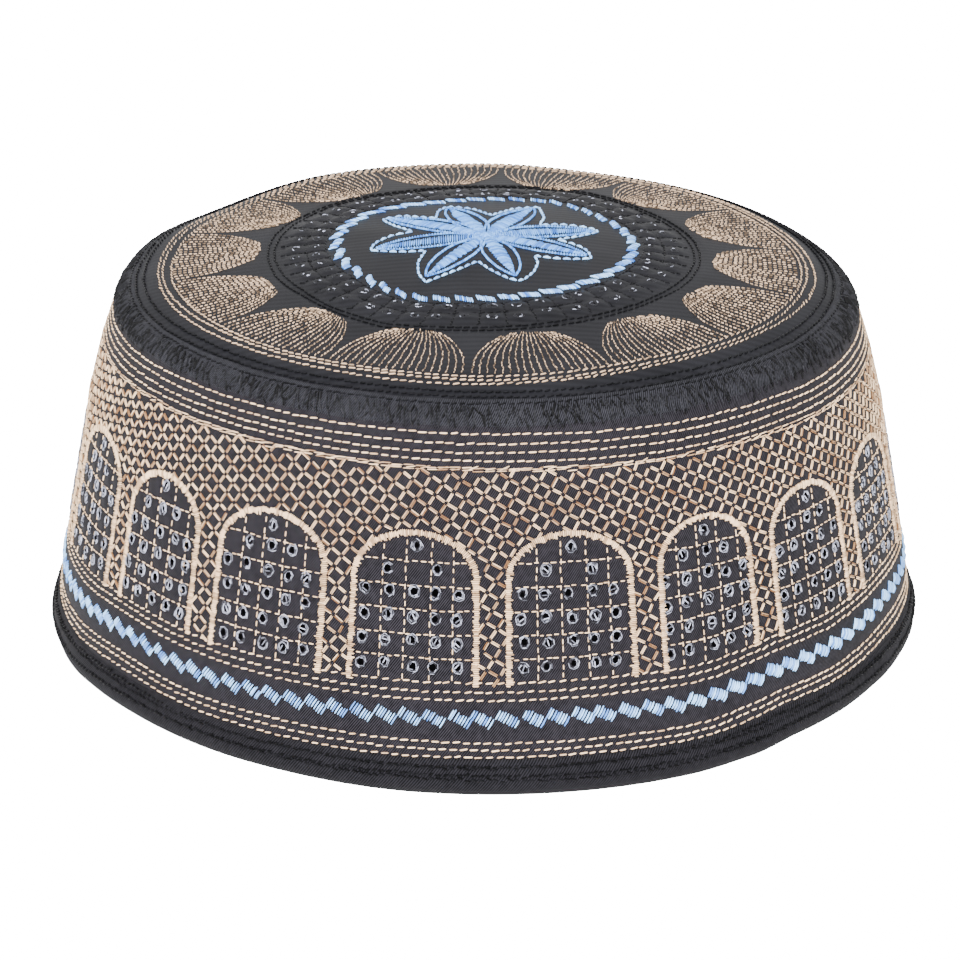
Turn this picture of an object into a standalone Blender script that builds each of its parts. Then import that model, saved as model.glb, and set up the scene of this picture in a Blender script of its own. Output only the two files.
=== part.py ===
"""A round prayer cap: a low domed crown, a bound shoulder, a tapered side band and a bound hem.

The cap stands on its hem. The origin is on the floor under the middle of the crown,
+Z is up, -Y is the front, and every length is in metres.
"""

import bisect
import math

import bpy

MM = 0.001

# The cap's overall form.
CAP_HEIGHT = 85.6 * MM
RIM_RADIUS = 94.0 * MM
CROWN_RADIUS = 76.2 * MM
CROWN_RISE = 9.6 * MM

# The cloth layers, and the clearance that touching layers keep.
CROWN_THICKNESS = 1.9 * MM
BAND_THICKNESS = 2.0 * MM
CLEARANCE = 0.3 * MM

# The binding sewn over the seam between the crown and the band.
SEAM_BINDING_THICKNESS = 1.0 * MM
SEAM_BINDING_PROUD = 0.3 * MM
SEAM_REACH_ON_CROWN = 2.6 * MM
SEAM_REACH_ON_BAND = 4.2 * MM
JOGGLE_LENGTH = 0.9 * MM

# The tape folded round the band's lower edge, and the rounding of its fold.
HEM_THICKNESS = 1.0 * MM
HEM_HEIGHT = 7.2 * MM
BAND_FOOT = 2.0 * MM
FOOT_CHAMFER = 0.6 * MM
HEM_ROLL_WIDTH = 2.3 * MM
HEM_ROLL_HEIGHT = 3.4 * MM
HEM_INNER_ROLL = 0.6 * MM

# The uneven set of the soft cloth: the most that the hem lifts off the floor, that
# the wall swells above the hem, and that the shoulder rises or sinks.
HEM_LIFT = 1.6 * MM
FOOT_SWELL = 0.6 * MM
SHOULDER_WAVE = 1.0 * MM

SEGMENTS = 80

# Crown outline: share of the crown's radius, share of its rise lost at that radius.
CROWN_OUTLINE = (
    (0.000, 0.000),
    (0.110, 0.022),
    (0.220, 0.090),
    (0.430, 0.270),
    (0.660, 0.470),
    (0.810, 0.595),
    (0.905, 0.665),
    (0.950, 0.800),
    (0.978, 0.900),
    (1.000, 1.000),
)

# Wall outline: share of the seam's height, share of the flare from crown to foot.
WALL_OUTLINE = (
    (0.9855, 0.085),
    (0.9660, 0.146),
    (0.9410, 0.183),
    (0.8550, 0.309),
    (0.7240, 0.458),
    (0.5920, 0.582),
    (0.4600, 0.694),
    (0.3290, 0.806),
    (0.2100, 0.899),
    (0.1320, 0.953),
    (0.0480, 1.000),
    (0.0000, 1.006),
)

# Soft form: azimuth in degrees (0 at the front, growing towards +X), share of the
# hem's lift, share of the foot's swell, share of the shoulder's wave.
SOFT_FORM = (
    (-180, 0.00, 0.0, 0.4),
    (-150, 0.00, 0.0, 0.8),
    (-126, 0.00, 0.0, -1.0),
    (-108, 0.00, 0.0, 0.3),
    (-90, 0.00, 0.0, -0.6),
    (-70, 0.10, 0.7, -0.6),
    (-50, 0.50, 0.0, 0.0),
    (-30, 0.35, 0.0, 0.0),
    (-8, 0.00, 0.0, 0.0),
    (27, 0.00, 0.7, 0.0),
    (36, 0.15, 0.2, 0.0),
    (44, 0.75, 0.0, 0.0),
    (74, 1.00, 0.0, -0.5),
    (90, 0.40, 0.0, -1.0),
    (112, 0.00, 0.0, -1.0),
    (135, 0.00, 0.0, -0.5),
    (160, 0.00, 0.0, -0.5),
)


def cap_outline():
    """The outer line of the cloth as (radius, height), from the crown's centre to the foot."""
    seam_height = CAP_HEIGHT - CROWN_RISE
    flare = RIM_RADIUS - HEM_THICKNESS - CLEARANCE - CROWN_RADIUS
    crown = [(CROWN_RADIUS * out, CAP_HEIGHT - CROWN_RISE * drop) for out, drop in CROWN_OUTLINE]
    wall = [(CROWN_RADIUS + flare * out, seam_height * up) for up, out in WALL_OUTLINE]
    return crown + wall


OUTLINE = cap_outline()
SEAM_INDEX = len(CROWN_OUTLINE) - 1


def running_lengths(points):
    """The length walked along a line at each of its points."""
    total = [0.0]
    for start, end in zip(points[:-1], points[1:]):
        total.append(total[-1] + math.dist(start, end))
    return total


LENGTHS = running_lengths(OUTLINE)
SEAM_LENGTH = LENGTHS[SEAM_INDEX]


def slope_angles(points):
    """The direction of a line at each of its points, as the mean of its two sides."""
    sides = [math.atan2(end[1] - start[1], end[0] - start[0]) for start, end in zip(points[:-1], points[1:])]
    middle = [(before + after) / 2 for before, after in zip(sides[:-1], sides[1:])]
    return [0.0] + middle + [sides[-1]]


SLOPES = slope_angles(OUTLINE)


def on_outline(length, inset=0.0):
    """The point at a walked length, moved inward by an inset, and the direction there."""
    index = min(max(bisect.bisect_right(LENGTHS, length) - 1, 0), len(OUTLINE) - 2)
    share = (length - LENGTHS[index]) / (LENGTHS[index + 1] - LENGTHS[index])
    (r0, z0), (r1, z1) = OUTLINE[index], OUTLINE[index + 1]
    angle = SLOPES[index] + (SLOPES[index + 1] - SLOPES[index]) * share
    radius = r0 + (r1 - r0) * share + math.sin(angle) * inset
    height = z0 + (z1 - z0) * share - math.cos(angle) * inset
    return (radius, height), angle


def cloth_point(length, inset):
    """Only the point of on_outline."""
    return on_outline(length, inset)[0]


def seam_end(side, inset):
    """A point on the flat end of a layer at the seam: side is -1 on the crown, 1 on the band."""
    (radius, height), angle = on_outline(SEAM_LENGTH, inset)
    step = side * CLEARANCE / 2
    return radius + math.cos(angle) * step, height + math.sin(angle) * step


def wall_point(height, inset):
    """The wall's point at a height, moved inward by an inset."""
    wall = OUTLINE[SEAM_INDEX:]
    for (r0, z0), (r1, z1) in zip(wall[:-1], wall[1:]):
        if z1 <= height <= z0:
            share = (z0 - height) / (z0 - z1)
            return r0 + (r1 - r0) * share - inset, height
    return wall[-1][0] - inset, height


UNDER_BINDING = SEAM_BINDING_THICKNESS + CLEARANCE - SEAM_BINDING_PROUD
CROWN_JOGGLE_END = SEAM_LENGTH - SEAM_REACH_ON_CROWN - CLEARANCE
CROWN_JOGGLE_START = CROWN_JOGGLE_END - JOGGLE_LENGTH
BAND_JOGGLE_START = SEAM_LENGTH + SEAM_REACH_ON_BAND + CLEARANCE
BAND_JOGGLE_END = BAND_JOGGLE_START + JOGGLE_LENGTH


def crown_profile():
    """The crown's section, whose edge steps in under the seam binding."""
    open_lengths = [length for length in LENGTHS[:SEAM_INDEX] if length < CROWN_JOGGLE_START - JOGGLE_LENGTH]
    outer = [cloth_point(length, 0.0) for length in open_lengths]
    outer += [cloth_point(CROWN_JOGGLE_START, 0.0), cloth_point(CROWN_JOGGLE_END, UNDER_BINDING)]
    outer.append(seam_end(-1, UNDER_BINDING))
    inner = [seam_end(-1, UNDER_BINDING + CROWN_THICKNESS)]
    inner.append(cloth_point(CROWN_JOGGLE_END, UNDER_BINDING + CROWN_THICKNESS))
    inner.append(cloth_point(CROWN_JOGGLE_START, CROWN_THICKNESS))
    inner += [cloth_point(length, CROWN_THICKNESS) for length in reversed(open_lengths[1:])]
    inner.append((0.0, CAP_HEIGHT - CROWN_THICKNESS))
    return outer + inner


def band_profile():
    """The side band's section, from its edge under the seam binding to its foot in the hem."""
    lengths = [length for length in LENGTHS[SEAM_INDEX:] if length > BAND_JOGGLE_END + JOGGLE_LENGTH]
    heights = [cloth_point(length, 0.0)[1] for length in lengths]
    heights = [height for height in heights if height > BAND_FOOT + 2 * FOOT_CHAMFER]
    outer = [seam_end(1, UNDER_BINDING), cloth_point(BAND_JOGGLE_START, UNDER_BINDING)]
    outer.append(cloth_point(BAND_JOGGLE_END, 0.0))
    outer += [wall_point(height, 0.0) for height in heights]
    outer.append(wall_point(BAND_FOOT + FOOT_CHAMFER, 0.0))
    inner_top = [cloth_point(BAND_JOGGLE_END, BAND_THICKNESS)]
    inner_top.append(cloth_point(BAND_JOGGLE_START, UNDER_BINDING + BAND_THICKNESS))
    inner_top.append(seam_end(1, UNDER_BINDING + BAND_THICKNESS))
    foot = [wall_point(BAND_FOOT, FOOT_CHAMFER), wall_point(BAND_FOOT, BAND_THICKNESS)]
    return outer + foot + [wall_point(height, BAND_THICKNESS) for height in reversed(heights)] + inner_top


def seam_binding_profile():
    """The shoulder binding's section, with its two long edges rounded off."""
    start = SEAM_LENGTH - SEAM_REACH_ON_CROWN
    end = SEAM_LENGTH + SEAM_REACH_ON_BAND
    top, bottom = -SEAM_BINDING_PROUD, SEAM_BINDING_THICKNESS - SEAM_BINDING_PROUD
    middle = (top + bottom) / 2
    edge = SEAM_BINDING_THICKNESS / 2
    between = [start + (end - start) * share for share in (0.35, 0.65)]
    outer = [cloth_point(start + edge, top)] + [cloth_point(at, top) for at in between]
    outer.append(cloth_point(end - edge, top))
    inner = [cloth_point(end - edge, bottom)] + [cloth_point(at, bottom) for at in reversed(between)]
    inner.append(cloth_point(start + edge, bottom))
    return [cloth_point(start, middle)] + outer + [cloth_point(end, middle)] + inner


def hem_profile():
    """The hem tape's section: an outer leg, a rolled fold that is flat on the floor, an inner leg."""
    outside = -CLEARANCE - HEM_THICKNESS
    inside = BAND_THICKNESS + CLEARANCE + HEM_THICKNESS
    edge = HEM_THICKNESS / 2
    widest = wall_point(HEM_ROLL_HEIGHT, outside)[0]
    inmost = wall_point(HEM_INNER_ROLL, inside)[0]
    outer = [wall_point(HEM_HEIGHT, outside + edge), wall_point(HEM_HEIGHT - edge, outside)]
    for turn in (0, 30, 60, 90):
        angle = math.radians(turn)
        inward = HEM_ROLL_WIDTH * (1 - math.cos(angle))
        outer.append((widest - inward, HEM_ROLL_HEIGHT * (1 - math.sin(angle))))
    inner = [(inmost + HEM_INNER_ROLL, 0.0), (inmost, HEM_INNER_ROLL)]
    inner += [wall_point(HEM_HEIGHT - edge, inside), wall_point(HEM_HEIGHT, inside - edge)]
    channel_floor = BAND_FOOT - CLEARANCE
    channel = [wall_point(HEM_HEIGHT - edge, BAND_THICKNESS + CLEARANCE)]
    channel.append(wall_point(channel_floor, BAND_THICKNESS + CLEARANCE))
    channel.append(wall_point(channel_floor, FOOT_CHAMFER - CLEARANCE))
    channel.append(wall_point(channel_floor + FOOT_CHAMFER, -CLEARANCE))
    channel.append(wall_point(HEM_HEIGHT - edge, -CLEARANCE))
    return outer + inner + channel


def soft_shares(azimuth):
    """The three soft-form shares at an azimuth, eased between the rows of the table."""
    rows = SOFT_FORM + ((SOFT_FORM[0][0] + 360,) + SOFT_FORM[0][1:],)
    for before, after in zip(rows[:-1], rows[1:]):
        if before[0] <= azimuth <= after[0]:
            share = (azimuth - before[0]) / (after[0] - before[0])
            ease = share * share * (3 - 2 * share)
            return [low + (high - low) * ease for low, high in zip(before[1:], after[1:])]
    return [0.0, 0.0, 0.0]


def soften(mesh):
    """Gives a turned mesh the uneven set of the cap, the same for every layer."""
    for vertex in mesh.vertices:
        x, y, z = vertex.co
        radius = math.hypot(x, y)
        if radius < CLEARANCE:
            continue
        lift, swell, wave = soft_shares(math.degrees(math.atan2(x, -y)))
        low = max(0.0, 1 - z / (CAP_HEIGHT * 0.6))
        high = max(0.0, z / CAP_HEIGHT - 0.5) * 2 * min(1.0, radius / CROWN_RADIUS) ** 2
        grown = (radius + FOOT_SWELL * swell * low) / radius
        rise = HEM_LIFT * lift * low + SHOULDER_WAVE * wave * high
        vertex.co = (x * grown, y * grown, z + rise)


def cloth_material(name, colour, roughness):
    """A dull cloth of one colour."""
    material = bpy.data.materials.new(name)
    material.use_nodes = True
    shader = material.node_tree.nodes["Principled BSDF"]
    shader.inputs["Base Color"].default_value = (*colour, 1.0)
    shader.inputs["Roughness"].default_value = roughness
    shader.inputs["Metallic"].default_value = 0.0
    material.diffuse_color = (*colour, 1.0)
    return material


def turned_piece(name, profile, closed, colour, roughness, collection):
    """Turns a section about Z with a Screw modifier, then gives the result its soft form."""
    mesh = bpy.data.meshes.new(name + "_section")
    edges = [(index, index + 1) for index in range(len(profile) - 1)]
    if closed:
        edges.append((len(profile) - 1, 0))
    mesh.from_pydata([(radius, 0.0, height) for radius, height in profile], edges, [])
    section = bpy.data.objects.new(name + "_section", mesh)
    collection.objects.link(section)
    screw = section.modifiers.new("Turn", "SCREW")
    screw.axis = "Z"
    screw.angle = math.tau
    screw.steps = SEGMENTS
    screw.render_steps = SEGMENTS
    screw.use_merge_vertices = True
    screw.merge_threshold = 0.00001
    turned = bpy.data.meshes.new_from_object(section.evaluated_get(bpy.context.evaluated_depsgraph_get()))
    bpy.data.objects.remove(section)
    turned.name = name
    soften(turned)
    turned.shade_smooth()
    turned.set_sharp_from_angle(angle=math.radians(50))
    turned.materials.clear()
    turned.materials.append(cloth_material(name + "_cloth", colour, roughness))
    piece = bpy.data.objects.new(name, turned)
    collection.objects.link(piece)
    return piece


def build_cap():
    """Makes the four cloth pieces in one collection."""
    collection = bpy.data.collections.new("prayer_cap")
    bpy.context.scene.collection.children.link(collection)
    charcoal_satin = (0.050, 0.050, 0.054)
    charcoal_twill = (0.042, 0.039, 0.045)
    black_thread = (0.012, 0.012, 0.014)
    turned_piece("crown_panel", crown_profile(), False, charcoal_satin, 0.65, collection)
    turned_piece("seam_binding", seam_binding_profile(), True, black_thread, 0.85, collection)
    turned_piece("side_band", band_profile(), True, charcoal_twill, 0.80, collection)
    turned_piece("hem_binding", hem_profile(), True, black_thread, 0.85, collection)


for old in list(bpy.data.objects):
    bpy.data.objects.remove(old)
build_cap()
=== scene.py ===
# %% [markdown]
# # A prayer cap, quilted and embroidered
#
# This lesson dresses the four plain cloth pieces of a round cap. The real cap is charcoal
# cloth: a satin crown and a twill side, joined at a black overcast shoulder and closed by a
# black tape at the hem. Everything else that the eye sees is thread. So most of this file
# lays thousands of small stitches on one curved surface, row by row, as the sewing machine did.
#
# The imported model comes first, because every piece here has to stay where the solids are.

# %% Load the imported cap
import math

import bmesh
import bpy
import numpy as np
from mathutils import Matrix, Vector


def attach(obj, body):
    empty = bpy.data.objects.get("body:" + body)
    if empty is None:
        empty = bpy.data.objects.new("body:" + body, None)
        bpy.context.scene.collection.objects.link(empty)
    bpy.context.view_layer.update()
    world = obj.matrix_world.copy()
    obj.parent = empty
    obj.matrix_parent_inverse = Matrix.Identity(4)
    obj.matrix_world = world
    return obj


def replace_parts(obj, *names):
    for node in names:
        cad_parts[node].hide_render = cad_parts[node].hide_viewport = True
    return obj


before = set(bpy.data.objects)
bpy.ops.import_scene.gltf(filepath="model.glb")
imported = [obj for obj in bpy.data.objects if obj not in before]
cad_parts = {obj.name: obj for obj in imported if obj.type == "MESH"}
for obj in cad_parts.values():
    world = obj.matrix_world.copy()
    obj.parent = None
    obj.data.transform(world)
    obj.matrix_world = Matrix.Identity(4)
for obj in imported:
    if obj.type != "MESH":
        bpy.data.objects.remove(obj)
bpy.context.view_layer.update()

MM = 0.001
chance = np.random.default_rng(17)

# %% [markdown]
# ## The surface that all the sewing follows
#
# A cap like this is turned: one outline, swept about the upright axis. The outline is kept as
# a short table, eased into a smooth line, and then any spot on the cap is an azimuth (0 at the
# front, growing to the right) and a length walked along the line from the crown's centre. A
# stitch needs only its two ends in those numbers, so the same helper serves crown and wall.

# %% The outline as a smooth line
CAP_HEIGHT = 85.6 * MM
CROWN_RADIUS = 76.2 * MM
CROWN_RISE = 9.6 * MM
FOOT_RADIUS = 92.7 * MM
SEAM_HEIGHT = CAP_HEIGHT - CROWN_RISE

# Share of the crown's radius, share of its rise lost there.
CROWN_OUTLINE = ((0, 0), (0.11, 0.022), (0.22, 0.09), (0.43, 0.27), (0.66, 0.47), (0.81, 0.595),
                 (0.905, 0.665), (0.95, 0.8), (0.978, 0.9), (1, 1))
# Share of the seam's height, share of the flare from the crown to the foot.
WALL_OUTLINE = ((0.9855, 0.085), (0.966, 0.146), (0.941, 0.183), (0.855, 0.309), (0.724, 0.458),
                (0.592, 0.582), (0.46, 0.694), (0.329, 0.806), (0.21, 0.899), (0.132, 0.953),
                (0.048, 1), (0, 1.006))


def eased_outline(step, spread):
    """Radius, height and walked length every step along the outline, with eased corners."""
    corners = [(CROWN_RADIUS * out, CAP_HEIGHT - CROWN_RISE * drop) for out, drop in CROWN_OUTLINE]
    flare = FOOT_RADIUS - CROWN_RADIUS
    corners += [(CROWN_RADIUS + flare * out, SEAM_HEIGHT * up) for up, out in WALL_OUTLINE]
    corners = np.array(corners)
    walked = np.concatenate([[0], np.cumsum(np.hypot(*np.diff(corners, axis=0).T))])
    even = np.arange(0, walked[-1], step)
    radius, height = np.interp(even, walked, corners[:, 0]), np.interp(even, walked, corners[:, 1])
    reach = int(spread / step)
    kernel = np.hanning(2 * reach + 3)[1:-1]
    kernel /= kernel.sum()
    mirrored = np.concatenate([-radius[reach:0:-1], radius, 2 * radius[-1] - radius[-2:-reach - 2:-1]])
    level = np.concatenate([height[reach:0:-1], height, 2 * height[-1] - height[-2:-reach - 2:-1]])
    radius, height = np.convolve(mirrored, kernel, "valid"), np.convolve(level, kernel, "valid")
    radius[0] = 0.0
    return radius, height, np.concatenate([[0], np.cumsum(np.hypot(np.diff(radius), np.diff(height)))])


LINE_RADIUS, LINE_HEIGHT, LINE_LENGTH = eased_outline(0.25 * MM, 2.5 * MM)
SLOPE = np.arctan2(np.gradient(LINE_HEIGHT), np.gradient(LINE_RADIUS))
SEAM_LENGTH = float(np.interp(-SEAM_HEIGHT, -LINE_HEIGHT, LINE_LENGTH))
print(f"outline {LINE_LENGTH[-1] / MM:.1f} mm, seam at {SEAM_LENGTH / MM:.1f} mm")

# %% [markdown]
# Soft cloth never sets true. The hem lifts a little at the front corners and the shoulder dips
# here and there, so one table gives those shares round the cap, and every point passes through it.

# %% The uneven set of the cloth
HEM_LIFT = 1.6 * MM
FOOT_SWELL = 0.6 * MM
SHOULDER_WAVE = 1.0 * MM
# Azimuth in degrees, share of the hem's lift, of the foot's swell, of the shoulder's wave.
SOFT_FORM = np.array((
    (-180, 0, 0, 0.4), (-150, 0, 0, 0.8), (-126, 0, 0, -1.0), (-108, 0, 0, 0.3), (-90, 0, 0, -0.6),
    (-70, 0.1, 0.7, -0.6), (-50, 0.5, 0, 0), (-30, 0.35, 0, 0), (-8, 0, 0, 0), (27, 0, 0.7, 0),
    (36, 0.15, 0.2, 0), (44, 0.75, 0, 0), (74, 1.0, 0, -0.5), (90, 0.4, 0, -1.0),
    (112, 0, 0, -1.0), (135, 0, 0, -0.5), (160, 0, 0, -0.5), (180, 0, 0, 0.4)))


def soften(points):
    """Moves points, an array of x, y, z, with the uneven set of the cloth."""
    x, y, z = points.T
    radius = np.maximum(np.hypot(x, y), 1e-6)
    azimuth = np.degrees(np.arctan2(x, -y))
    row = np.clip(np.searchsorted(SOFT_FORM[:, 0], azimuth) - 1, 0, len(SOFT_FORM) - 2)
    before, after = SOFT_FORM[row], SOFT_FORM[row + 1]
    share = (azimuth - before[:, 0]) / (after[:, 0] - before[:, 0])
    ease = (share * share * (3 - 2 * share))[:, None]
    lift, swell, wave = (before[:, 1:] + (after[:, 1:] - before[:, 1:]) * ease).T
    low = np.maximum(0, 1 - z / (CAP_HEIGHT * 0.6))
    high = np.maximum(0, z / CAP_HEIGHT - 0.5) * 2 * np.minimum(1, radius / CROWN_RADIUS) ** 2
    grown = 1 + FOOT_SWELL * swell * low / radius
    return np.stack([x * grown, y * grown, z + HEM_LIFT * lift * low + SHOULDER_WAVE * wave * high], -1)


# The rows on the wall were guided by eye. Azimuth in degrees, millimetres that they ride up there.
UPPER_DRIFT = np.array((
    (-180, 0), (-90, 0.3), (-60, 0.5), (-35, 0.5), (-20, 0.3), (-8, 0), (0, -0.05), (10, -0.2),
    (20, -0.55), (30, -0.95), (45, -1.15), (55, -1.6), (70, -1.5), (110, -0.8), (180, 0)))
LOWER_DRIFT = np.array((
    (-180, 0), (-90, 0.2), (-66, 0.2), (-60, 0.7), (-55, 0.8), (-50, 0.5), (-45, 0), (-38, -0.3),
    (-20, -0.35), (0, -0.2), (12, -0.1), (20, -0.25), (26, -0.6), (31, -0.55), (36, 0.1), (40, 0.4),
    (45, 0), (52, -0.3), (60, 0.3), (66, 0.8), (80, 0.5), (120, 0), (180, 0)))


def wrapped(azimuth):
    """Azimuths in degrees, brought between -180 and 180."""
    return (np.asarray(azimuth) + 180) % 360 - 180


def row_drift(azimuth, height):
    """How far the sewing on the wall rides up at azimuths in degrees and heights."""
    azimuth, height = wrapped(azimuth), np.asarray(height) / MM
    upper = np.interp(height, (25, 65, 71.7, 74.5), (0, 1, 1, 0))
    lower = np.interp(height, (5, 9, 20, 42), (0, 1, 1, 0))
    return (np.interp(azimuth, *UPPER_DRIFT.T) * upper + np.interp(azimuth, *LOWER_DRIFT.T) * lower) * MM


def on_cap(azimuth, length, out=0.0):
    """Points and outward normals at azimuths in degrees and lengths walked, moved out by out."""
    azimuth, length, out = np.broadcast_arrays(azimuth, length, out)
    length = length - row_drift(azimuth, np.interp(length, LINE_LENGTH, LINE_HEIGHT))
    azimuth = np.radians(azimuth)
    slope = np.interp(length, LINE_LENGTH, SLOPE)
    radius = np.interp(length, LINE_LENGTH, LINE_RADIUS) - np.sin(slope) * out
    height = np.interp(length, LINE_LENGTH, LINE_HEIGHT) + np.cos(slope) * out
    points = np.stack([radius * np.sin(azimuth), -radius * np.cos(azimuth), height], -1)
    normals = np.stack([-np.sin(slope) * np.sin(azimuth), np.sin(slope) * np.cos(azimuth), np.cos(slope)], -1)
    return soften(points.reshape(-1, 3)).reshape(points.shape), normals


def at_height(height):
    """The length walked to a height on the wall, in metres."""
    return np.interp(-np.asarray(height), -LINE_HEIGHT, LINE_LENGTH)


def at_radius(radius):
    """The length walked to a radius on the crown, in metres."""
    crown = LINE_LENGTH <= SEAM_LENGTH
    return np.interp(radius, LINE_RADIUS[crown], LINE_LENGTH[crown])


def degree_width(length):
    """How many metres one degree of azimuth spans at a walked length."""
    return np.maximum(np.interp(length, LINE_LENGTH, LINE_RADIUS), 1e-4) * math.pi / 180


# %% [markdown]
# ## Materials
#
# Each material is named for the real cloth or thread. Weaves are drawn from the real thread
# spacing, worked out round the cap: the azimuth times a radius gives millimetres sideways, and
# the height gives millimetres upwards. Threads get a tone of their own from an attribute, so
# neighbouring stitches differ slightly, as dyed and twisted thread does.

# %% Colour and node helpers
NOISE, MIX, BUMP = "ShaderNodeTexNoise", "ShaderNodeMix", "ShaderNodeBump"


def linear(hex_code):
    """An sRGB hex colour as linear RGBA."""
    parts = [int(hex_code[i:i + 2], 16) / 255 for i in (1, 3, 5)]
    return (*[p / 12.92 if p <= 0.04045 else ((p + 0.055) / 1.055) ** 2.4 for p in parts], 1.0)


def add_node(tree, kind, settings=None, links=None):
    """Adds a node; settings name its sockets or properties, links give sockets their sources."""
    node = tree.nodes.new(kind)
    for name, value in (settings or {}).items():
        if isinstance(name, int) or name in node.inputs:
            node.inputs[name].default_value = value
        else:
            setattr(node, name, value)
    for name, source in (links or {}).items():
        tree.links.new(source, node.inputs[name])
    return node


def compute(tree, operation, *operands, clamp=False):
    """The output of a maths node that takes numbers and sockets."""
    node = tree.nodes.new("ShaderNodeMath")
    node.operation, node.use_clamp = operation, clamp
    for index, operand in enumerate(operands):
        if isinstance(operand, float):
            node.inputs[index].default_value = operand
        else:
            tree.links.new(operand, node.inputs[index])
    return node.outputs[0]


def new_material(name, roughness, gloss=0.5, sheen=0.0):
    """A material with its node tree and its shader; gloss is its specular level."""
    material = bpy.data.materials.new(name)
    material.use_nodes = True
    tree = material.node_tree
    shader = tree.nodes["Principled BSDF"]
    shader.inputs["Roughness"].default_value = roughness
    shader.inputs["Specular IOR Level"].default_value = gloss
    shader.inputs["Sheen Weight"].default_value = sheen
    shader.inputs["Sheen Roughness"].default_value = 0.5
    return material, tree, shader


# %% [markdown]
# Twill crosses its threads one step over in each row, so it shows fine diagonal ribs. The real
# ribs are about 0.4 mm apart, just under two pixels here; 0.5 mm is drawn so that they show.

# %% Charcoal cotton twill of the side, and the black twills of the hem and the shoulder
WALL_RADIUS = 86 * MM
# Metres that a rib moves sideways for each metre up, and how deep its relief is.
RIB_LEAN, RIB_RELIEF = -0.7, 0.08 * MM
# Fuzz is drawn at about a millimetre, and wear in clouds of about 20 mm.
FUZZ_SCALE, WEAR_SCALE = 900.0, 45.0


def finish_cloth(tree, shader, dark, light, share, height, strength, relief):
    """Mixes two hex colours by a share and gives the relief of a height to the shader."""
    colour = add_node(tree, MIX, {"data_type": "RGBA", 6: linear(dark), 7: linear(light)}, {0: share})
    bump = add_node(tree, BUMP, {"Strength": strength, "Distance": relief}, {"Height": height})
    tree.links.new(colour.outputs[2], shader.inputs["Base Color"])
    tree.links.new(bump.outputs[0], shader.inputs["Normal"])


def twill(name, dark, light, pitch, roughness):
    """A twill whose leaning ribs lie pitch apart round the wall."""
    material, tree, shader = new_material(name, roughness, 0.05, 0.02)
    spot = add_node(tree, "ShaderNodeTexCoord").outputs["Object"]
    axes = add_node(tree, "ShaderNodeSeparateXYZ", links={0: spot}).outputs
    turn = compute(tree, "ARCTAN2", axes["X"], compute(tree, "MULTIPLY", axes["Y"], -1.0))
    across = compute(tree, "MULTIPLY", turn, float(round(2 * math.pi * WALL_RADIUS / pitch)))
    climb = compute(tree, "MULTIPLY", axes["Z"], RIB_LEAN * 2 * math.pi / pitch)
    rib = compute(tree, "SINE", compute(tree, "ADD", across, climb))
    fuzz = add_node(tree, NOISE, {"Scale": FUZZ_SCALE, "Detail": 2.0}, {"Vector": spot}).outputs[0]
    wear = add_node(tree, NOISE, {"Scale": WEAR_SCALE, "Detail": 3.0}, {"Vector": spot}).outputs[0]
    shade = compute(tree, "ADD", compute(tree, "MULTIPLY", rib, 0.55), fuzz)
    total = compute(tree, "ADD", shade, compute(tree, "MULTIPLY_ADD", wear, 0.35, -0.17))
    finish_cloth(tree, shader, dark, light, total, shade, 0.6, RIB_RELIEF)
    return material


SIDE_TWILL = twill("charcoal_cotton_twill", "#020203", "#29272c", 0.5 * MM, 0.75)
HEM_TAPE = twill("black_twill_tape", "#040405", "#212024", 0.55 * MM, 0.8)
BINDING = twill("black_cotton_binding", "#060607", "#2d2d32", 0.5 * MM, 0.8)

# %% [markdown]
# The crown is a satin weave: long floats hide the crossings, so it looks smooth, with only a
# faint line along the weft. The weft's own threads are finer than a pixel, so the faint streaks
# that show are drawn, 2 mm apart.

# %% Charcoal satin of the crown
STREAK_PITCH = 2.0 * MM
# A wave texture of scale 1 repeats every 0.314 of a unit.
WAVE_LENGTH = 0.314


def satin(name, dark, light):
    """A smooth cloth with faint weft streaks along X."""
    material, tree, shader = new_material(name, 0.45, 0.03)
    spot = add_node(tree, "ShaderNodeTexCoord").outputs["Object"]
    waves = {"bands_direction": "Y", "Scale": WAVE_LENGTH / STREAK_PITCH, "Distortion": 1.5, "Detail": 2.0}
    weft = add_node(tree, "ShaderNodeTexWave", waves, {"Vector": spot}).outputs["Fac"]
    cloud = add_node(tree, NOISE, {"Scale": 60.0, "Detail": 4.0}, {"Vector": spot}).outputs[0]
    total = compute(tree, "MULTIPLY_ADD", cloud, 0.65, compute(tree, "MULTIPLY", weft, 0.2))
    finish_cloth(tree, shader, dark, light, total, weft, 0.35, 0.03 * MM)
    return material


CROWN_SATIN = satin("charcoal_satin", "#0b0b0d", "#252529")

# %% [markdown]
# Embroidery thread is twisted rayon or cotton: soft gloss, and a tone that shifts a little from
# stitch to stitch. The shift comes from the attribute tone, 0 to 1, that each stitch carries.

# %% Threads
# The twist shows as mottling of about half a millimetre.
TWIST_SCALE = 2200.0


def thread(name, dark, light, roughness, gloss):
    """A dyed thread between two tones, with a fine twist in its relief."""
    material, tree, shader = new_material(name, roughness, gloss)
    spot = add_node(tree, "ShaderNodeTexCoord").outputs["Object"]
    tone = add_node(tree, "ShaderNodeAttribute", {"attribute_name": "tone"}).outputs["Fac"]
    twist = add_node(tree, NOISE, {"Scale": TWIST_SCALE, "Detail": 2.0}, {"Vector": spot}).outputs[0]
    shifted = compute(tree, "SUBTRACT", compute(tree, "MULTIPLY_ADD", twist, 0.5, tone), 0.25, clamp=True)
    finish_cloth(tree, shader, dark, light, shifted, twist, 0.5, 0.04 * MM)
    return material


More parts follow.
